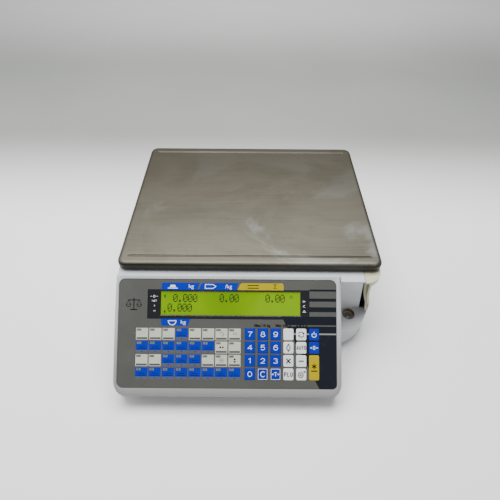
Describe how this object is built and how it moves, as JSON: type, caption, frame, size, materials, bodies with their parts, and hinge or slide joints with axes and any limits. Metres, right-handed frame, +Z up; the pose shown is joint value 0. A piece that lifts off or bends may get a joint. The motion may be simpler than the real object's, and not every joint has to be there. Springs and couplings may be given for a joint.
{
  "type": "label printing scale",
  "caption": "Counter label printing scale: steel platter on a load cell, sloping keypad console with display, side door with printer cassette.",
  "frame": {"origin": "centre of the footprint on the counter, under the feet", "axes": "+X to the right seen from the operator, +Y to the back, +Z up"},
  "size_m": [0.384, 0.4476, 0.142],
  "materials": {
    "tray": "painted satin",
    "housing": "fine texture",
    "overlay": "satin print",
    "window": "gloss",
    "lcd": "gloss",
    "membrane": "satin",
    "board": "satin",
    "alloy": "cast",
    "platter": "brushed",
    "fixings": "plated",
    "rubber": "matte",
    "platen": "matte",
    "level": "gloss",
    "cover": "satin",
    "plated": "zinc plated",
    "motor": "satin",
    "pinion": "machined",
    "nylon": "moulded",
    "paper": "matte",
    "dark_plastic": "moulded",
    "head": "anodised",
    "lever": "moulded",
    "dark_plate": "moulded",
    "rocker": "gloss",
    "foot": "matte",
    "key_white": "satin",
    "key_blue": "satin",
    "key_yellow": "satin"
  },
  "bodies": {
    "chassis": {"base_tray": "tray", "upper_housing": "housing", "console_bezel": "housing", "console_floor": "housing", "keypad_overlay": "overlay", "display_window": "window", "operator_lcd": "lcd", "keypad_circuit": "membrane", "main_board": "board", "power_supply": "alloy", "load_cell": "alloy", "foot_lock_nuts": "fixings", "spirit_level": "level", "door_hinge_pins": "fixings", "cassette_rails": "plated", "connector_panel": "dark_plate", "fixing_screws": "fixings"},
    "weigh_frame": {"platter_support": "alloy", "platter_cushions": "rubber", "spider_bolts": "fixings"},
    "platter": {"platter": "platter"},
    "door": {"printer_door": "cover"},
    "cassette": {"cassette_frame": "plated", "drive_motor": "motor", "roll_spindle": "dark_plastic"},
    "platen": {"platen_roller": "platen"},
    "pinion": {"motor_pinion": "pinion"},
    "idler": {"idler_gear": "nylon"},
    "roll": {"label_roll": "paper"},
    "rewind": {"rewind_spool": "nylon"},
    "head": {"thermal_head": "head"},
    "lever": {"head_lever": "lever"},
    "rocker": {"power_switch": "rocker"},
    "levelling_front_left": {"foot_front_left": "foot"},
    "levelling_front_right": {"foot_front_right": "foot"},
    "levelling_rear_left": {"foot_rear_left": "foot"},
    "levelling_rear_right": {"foot_rear_right": "foot"},
    "key_0": {"key_0": "key_blue"},
    "key_1": {"key_1": "key_blue"},
    "key_2": {"key_2": "key_blue"},
    "key_3": {"key_3": "key_blue"},
    "key_4": {"key_4": "key_blue"},
    "key_5": {"key_5": "key_blue"},
    "key_6": {"key_6": "key_blue"},
    "key_7": {"key_7": "key_blue"},
    "key_8": {"key_8": "key_blue"},
    "key_9": {"key_9": "key_blue"},
    "key_blank": {"key_blank": "key_white"},
    "key_feed": {"key_feed": "key_white"},
    "key_power": {"key_power": "key_blue"},
    "key_diamond": {"key_diamond": "key_white"},
    "key_auto": {"key_auto": "key_white"},
    "key_zero": {"key_zero": "key_blue"},
    "key_times": {"key_times": "key_white"},
    "key_minus": {"key_minus": "key_white"},
    "key_print": {"key_print": "key_yellow"},
    "key_clear": {"key_clear": "key_blue"},
    "key_tare": {"key_tare": "key_blue"},
    "key_plu": {"key_plu": "key_white"},
    "key_total": {"key_total": "key_white"}
  },
  "joints": [
    {"name": "cell_deflection", "type": "slide", "parent": "chassis", "child": "weigh_frame", "axis": [0, 0, 1], "range_m": [-0.0006, 0], "stiffness_N_per_m": 245000, "springref_m": 0.00011, "deforming": ["load_cell"]},
    {"name": "deck_plate_lift", "type": "slide", "parent": "weigh_frame", "child": "platter", "axis": [0, 0, 1], "range_m": [0, 0.06]},
    {"name": "cover_swing", "type": "hinge", "parent": "chassis", "child": "door", "pos_m": [0.185, 0.1988, 0.085], "axis": [0, 0, 1], "range_deg": [0, 95]},
    {"name": "cassette_slide", "type": "slide", "parent": "chassis", "child": "cassette", "axis": [1, 0, 0], "range_m": [0, 0.0962]},
    {"name": "drive_spin", "type": "hinge", "parent": "cassette", "child": "platen", "pos_m": [0.153, 0.0358, 0.08], "axis": [0, 1, 0], "continuous": true},
    {"name": "idler_spin", "type": "hinge", "parent": "cassette", "child": "idler", "pos_m": [0.12749, 0.0743, 0.07499], "axis": [0, 1, 0], "continuous": true},
    {"name": "pinion_spin", "type": "hinge", "parent": "cassette", "child": "pinion", "pos_m": [0.10681, 0.0743, 0.06747], "axis": [0, 1, 0], "continuous": true},
    {"name": "rewind_spin", "type": "hinge", "parent": "cassette", "child": "rewind", "pos_m": [0.1464, 0.0358, 0.06022], "axis": [0, 1, 0], "continuous": true},
    {"name": "feed_roll_spin", "type": "hinge", "parent": "cassette", "child": "roll", "pos_m": [0.097, 0.0318, 0.086], "axis": [0, 1, 0], "continuous": true},
    {"name": "head_release", "type": "hinge", "parent": "cassette", "child": "lever", "pos_m": [0.146, -0.0082, 0.102], "axis": [0, 1, 0], "range_deg": [0, 75]},
    {"name": "head_tilt", "type": "hinge", "parent": "cassette", "child": "head", "pos_m": [0.136, 0.0358, 0.108], "axis": [0, -1, 0], "range_deg": [0, 14.1]},
    {"name": "rocker_tip", "type": "hinge", "parent": "chassis", "child": "rocker", "pos_m": [-0.1565, 0.2193, 0.072], "axis": [1, 0, 0], "range_deg": [0, 12]},
    {"name": "turn_foot_front_left", "type": "hinge", "parent": "chassis", "child": "levelling_front_left", "pos_m": [-0.15, -0.0992, 0.005], "axis": [0, 0, 1], "range_deg": [-1080, 1080]},
    {"name": "turn_foot_front_right", "type": "hinge", "parent": "chassis", "child": "levelling_front_right", "pos_m": [0.122, -0.0992, 0.005], "axis": [0, 0, 1], "range_deg": [-1080, 1080]},
    {"name": "turn_foot_rear_left", "type": "hinge", "parent": "chassis", "child": "levelling_rear_left", "pos_m": [-0.15, 0.1888, 0.005], "axis": [0, 0, 1], "range_deg": [-1080, 1080]},
    {"name": "turn_foot_rear_right", "type": "hinge", "parent": "chassis", "child": "levelling_rear_right", "pos_m": [0.15, 0.1888, 0.005], "axis": [0, 0, 1], "range_deg": [-1080, 1080]},
    {"name": "key_0_press", "type": "slide", "parent": "chassis", "child": "key_0", "axis": [0, 0.6197, -0.7848], "range_m": [0, 0.0006], "stiffness_N_per_m": 3000},
    {"name": "key_1_press", "type": "slide", "parent": "chassis", "child": "key_1", "axis": [0, 0.6197, -0.7848], "range_m": [0, 0.0006], "stiffness_N_per_m": 3000},
    {"name": "key_2_press", "type": "slide", "parent": "chassis", "child": "key_2", "axis": [0, 0.6197, -0.7848], "range_m": [0, 0.0006], "stiffness_N_per_m": 3000},
    {"name": "key_3_press", "type": "slide", "parent": "chassis", "child": "key_3", "axis": [0, 0.6197, -0.7848], "range_m": [0, 0.0006], "stiffness_N_per_m": 3000},
    {"name": "key_4_press", "type": "slide", "parent": "chassis", "child": "key_4", "axis": [0, 0.6197, -0.7848], "range_m": [0, 0.0006], "stiffness_N_per_m": 3000},
    {"name": "key_5_press", "type": "slide", "parent": "chassis", "child": "key_5", "axis": [0, 0.6197, -0.7848], "range_m": [0, 0.0006], "stiffness_N_per_m": 3000},
    {"name": "key_6_press", "type": "slide", "parent": "chassis", "child": "key_6", "axis": [0, 0.6197, -0.7848], "range_m": [0, 0.0006], "stiffness_N_per_m": 3000},
    {"name": "key_7_press", "type": "slide", "parent": "chassis", "child": "key_7", "axis": [0, 0.6197, -0.7848], "range_m": [0, 0.0006], "stiffness_N_per_m": 3000},
    {"name": "key_8_press", "type": "slide", "parent": "chassis", "child": "key_8", "axis": [0, 0.6197, -0.7848], "range_m": [0, 0.0006], "stiffness_N_per_m": 3000},
    {"name": "key_9_press", "type": "slide", "parent": "chassis", "child": "key_9", "axis": [0, 0.6197, -0.7848], "range_m": [0, 0.0006], "stiffness_N_per_m": 3000},
    {"name": "key_blank_press", "type": "slide", "parent": "chassis", "child": "key_blank", "axis": [0, 0.6197, -0.7848], "range_m": [0, 0.0006], "stiffness_N_per_m": 3000},
    {"name": "key_feed_press", "type": "slide", "parent": "chassis", "child": "key_feed", "axis": [0, 0.6197, -0.7848], "range_m": [0, 0.0006], "stiffness_N_per_m": 3000},
    {"name": "key_power_press", "type": "slide", "parent": "chassis", "child": "key_power", "axis": [0, 0.6197, -0.7848], "range_m": [0, 0.0006], "stiffness_N_per_m": 3000},
    {"name": "key_diamond_press", "type": "slide", "parent": "chassis", "child": "key_diamond", "axis": [0, 0.6197, -0.7848], "range_m": [0, 0.0006], "stiffness_N_per_m": 3000},
    {"name": "key_auto_press", "type": "slide", "parent": "chassis", "child": "key_auto", "axis": [0, 0.6197, -0.7848], "range_m": [0, 0.0006], "stiffness_N_per_m": 3000},
    {"name": "key_zero_press", "type": "slide", "parent": "chassis", "child": "key_zero", "axis": [0, 0.6197, -0.7848], "range_m": [0, 0.0006], "stiffness_N_per_m": 3000},
    {"name": "key_times_press", "type": "slide", "parent": "chassis", "child": "key_times", "axis": [0, 0.6197, -0.7848], "range_m": [0, 0.0006], "stiffness_N_per_m": 3000},
    {"name": "key_minus_press", "type": "slide", "parent": "chassis", "child": "key_minus", "axis": [0, 0.6197, -0.7848], "range_m": [0, 0.0006], "stiffness_N_per_m": 3000},
    {"name": "key_print_press", "type": "slide", "parent": "chassis", "child": "key_print", "axis": [0, 0.6197, -0.7848], "range_m": [0, 0.0006], "stiffness_N_per_m": 3000},
    {"name": "key_clear_press", "type": "slide", "parent": "chassis", "child": "key_clear", "axis": [0, 0.6197, -0.7848], "range_m": [0, 0.0006], "stiffness_N_per_m": 3000},
    {"name": "key_tare_press", "type": "slide", "parent": "chassis", "child": "key_tare", "axis": [0, 0.6197, -0.7848], "range_m": [0, 0.0006], "stiffness_N_per_m": 3000},
    {"name": "key_plu_press", "type": "slide", "parent": "chassis", "child": "key_plu", "axis": [0, 0.6197, -0.7848], "range_m": [0, 0.0006], "stiffness_N_per_m": 3000},
    {"name": "key_total_press", "type": "slide", "parent": "chassis", "child": "key_total", "axis": [0, 0.6197, -0.7848], "range_m": [0, 0.0006], "stiffness_N_per_m": 3000}
  ],
  "couplings": [
    {"joint": "cassette_slide", "follows": "cover_swing", "m_per_rad": 0.055},
    {"joint": "idler_spin", "follows": "drive_spin", "ratio": -0.625},
    {"joint": "pinion_spin", "follows": "drive_spin", "ratio": 1.6667},
    {"joint": "rewind_spin", "follows": "drive_spin", "ratio": 1.25},
    {"joint": "head_tilt", "follows": "head_release", "ratio": 0.18667}
  ]
}
